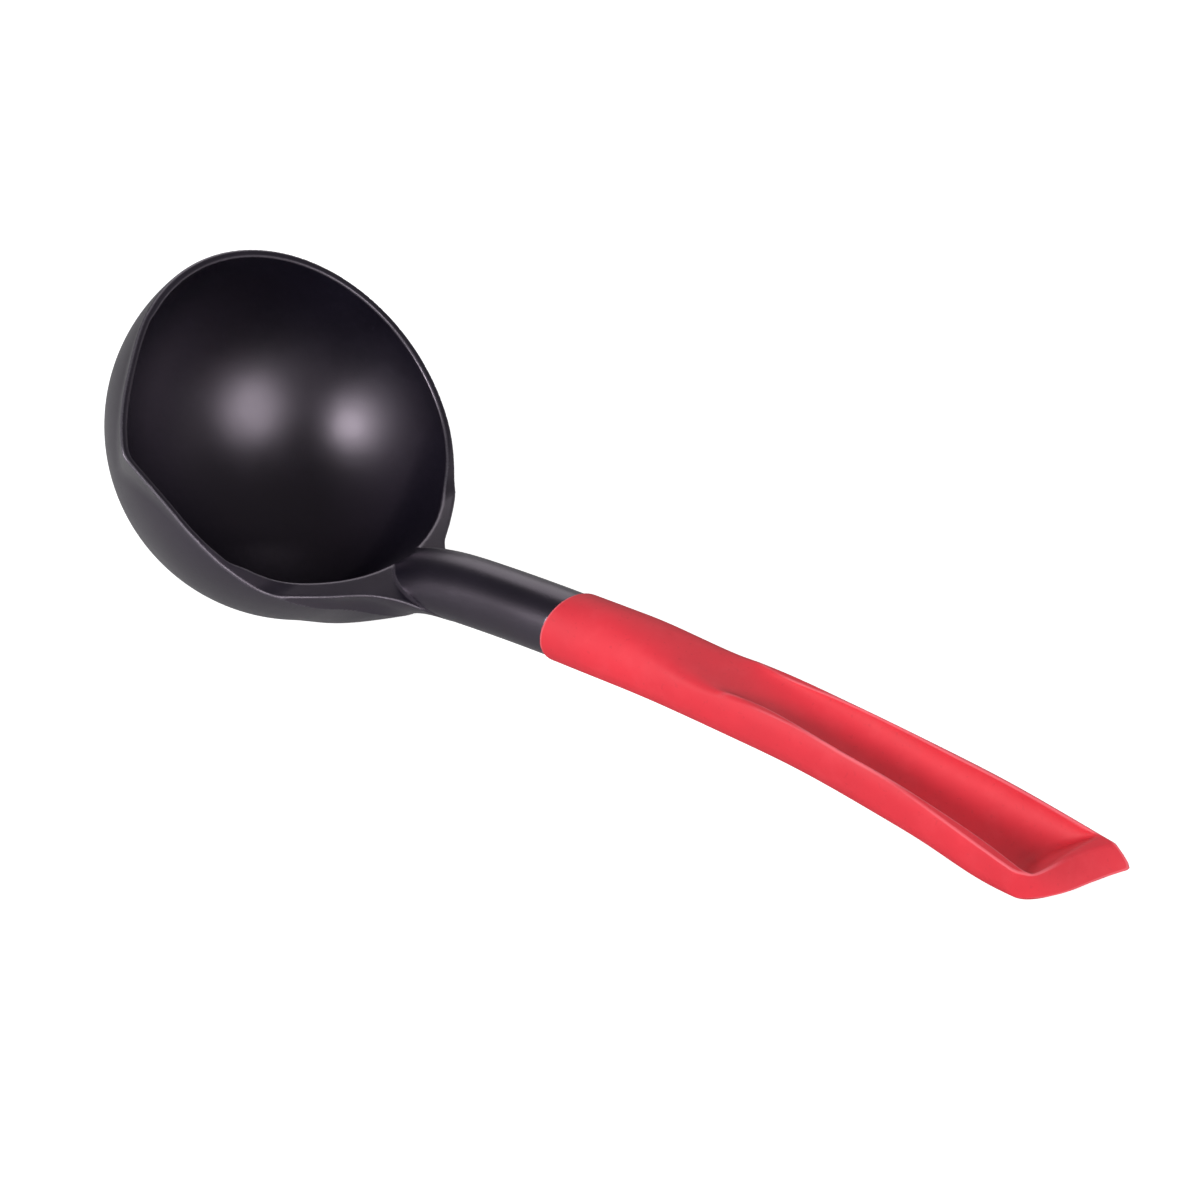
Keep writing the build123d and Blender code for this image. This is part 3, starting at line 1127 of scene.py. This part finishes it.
def light_room(stage):
    """The world: white to the camera, even light, and dimmer towards the ceiling in reflections."""
    world = bpy.data.worlds.new("room")
    bpy.context.scene.world = world
    world.use_nodes = True
    tree = world.node_tree
    tree.nodes.clear()

    def background(colour, strength=1.0):
        made = tree.nodes.new("ShaderNodeBackground")
        made.inputs["Color"].default_value = (*colour, 1.0)
        made.inputs["Strength"].default_value = strength
        return made

    def choice(ray, other, chosen):
        made = tree.nodes.new("ShaderNodeMixShader")
        tree.links.new(path.outputs[ray], made.inputs[0])
        tree.links.new(other.outputs[0], made.inputs[1])
        tree.links.new(chosen.outputs[0], made.inputs[2])
        return made

    path = tree.nodes.new("ShaderNodeLightPath")
    mirrored = background(MIRRORED_COLOUR)
    way = tree.nodes.new("ShaderNodeTexCoord")
    parts = tree.nodes.new("ShaderNodeSeparateXYZ")
    tree.links.new(way.outputs["Generated"], parts.inputs[0])
    ramp = tree.nodes.new("ShaderNodeMapRange")
    ramp.interpolation_type = "SMOOTHSTEP"
    ramp.inputs["From Min"].default_value = WALL_TOP
    ramp.inputs["From Max"].default_value = CEILING_EDGE
    ramp.inputs["To Min"].default_value = stage.horizon
    ramp.inputs["To Max"].default_value = stage.ceiling
    tree.links.new(parts.outputs["Z"], ramp.inputs["Value"])
    tree.links.new(ramp.outputs["Result"], mirrored.inputs["Strength"])
    unseen = choice("Is Glossy Ray", background(EVEN_COLOUR, stage.room_light), mirrored)
    seen = choice("Is Camera Ray", unseen, background(WHITE))
    out = tree.nodes.new("ShaderNodeOutputWorld")
    tree.links.new(seen.outputs[0], out.inputs["Surface"])


# ---------------------------------------------------------------- operators
def settings():
    """The scene's ladle settings."""
    return bpy.context.scene.ladle_settings


class LADLE_OT_stage(bpy.types.Operator):
    """Set the camera, floor, lamps and room light"""

    bl_idname = "ladle.stage"
    bl_label = "Stage"

    def execute(self, context):
        stage = settings().stage
        context.scene.view_settings.view_transform = "Standard"
        place_camera(stage)
        lay_floor(stage)
        light_room(stage)
        for name, turn, height, distance, size, power in LAMPS:
            lamp(name, turn, height, distance, size, power * stage.lamp_light)
        return {"FINISHED"}


class LADLE_OT_head(bpy.types.Operator):
    """Make the nylon head: bowl, spout, ledge, neck and tang in one moulding"""

    bl_idname = "ladle.head"
    bl_label = "Nylon head"

    def execute(self, context):
        bowl = settings().bowl
        piece = skin_piece("nylon_head", head_body(bowl), HEAD_LOW, HEAD_HIGH, bowl.cell)
        piece.data.materials.append(nylon_finish(settings().finish))
        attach(piece, "root")
        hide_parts("ladle_head")
        return {"FINISHED"}


class LADLE_OT_grip(bpy.types.Operator):
    """Make the red grip: mouth sleeve, trough, lips and slanted end"""

    bl_idname = "ladle.grip"
    bl_label = "Red grip"

    def execute(self, context):
        sizes = settings().grip
        piece = skin_piece("red_grip", grip_body(sizes), GRIP_LOW, GRIP_HIGH, sizes.cell)
        piece.data.materials.append(grip_finish(settings().finish))
        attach(piece, "root")
        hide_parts("grip")
        return {"FINISHED"}


class LadleSettings(bpy.types.PropertyGroup):
    """All the ladle's settings"""

    bowl: bpy.props.PointerProperty(
        name="Bowl", description="Sizes of the bowl", type=LadleBowlSizes
    )
    grip: bpy.props.PointerProperty(
        name="Grip", description="Sizes of the grip", type=LadleGripSizes
    )
    finish: bpy.props.PointerProperty(
        name="Finish", description="Colours and surfaces", type=LadleFinish
    )
    stage: bpy.props.PointerProperty(
        name="Stage", description="Camera, floor and lamps", type=LadleStage
    )


class LADLE_PT_panel(bpy.types.Panel):
    """The ladle's sizes, finishes and makers"""

    bl_idname = "LADLE_PT_panel"
    bl_label = "Soup ladle"
    bl_space_type = "VIEW_3D"
    bl_region_type = "UI"
    bl_category = "Ladle"

    def draw(self, context):
        layout = self.layout
        for made in MAKERS:
            layout.operator(made.bl_idname)
        for name in ("bowl", "grip", "finish", "stage"):
            group = getattr(context.scene.ladle_settings, name)
            part = layout.box()
            part.label(text=name.capitalize())
            for key in group.__annotations__:
                part.prop(group, key)


GROUPS = (LadleBowlSizes, LadleGripSizes, LadleFinish, LadleStage, LadleSettings)
MAKERS = (LADLE_OT_stage, LADLE_OT_head, LADLE_OT_grip)


def register():
    """Adds the settings, operators and panel."""
    for made in (*GROUPS, *MAKERS, LADLE_PT_panel):
        bpy.utils.register_class(made)
    bpy.types.Scene.ladle_settings = bpy.props.PointerProperty(type=LadleSettings)


def unregister():
    """Takes the settings, operators and panel away again."""
    del bpy.types.Scene.ladle_settings
    for made in reversed((*GROUPS, *MAKERS, LADLE_PT_panel)):
        bpy.utils.unregister_class(made)


def main():
    """Makes the stage and the ladle."""
    register()
    bpy.ops.ladle.stage()
    bpy.ops.ladle.head()
    bpy.ops.ladle.grip()


if __name__ == "__main__":
    main()
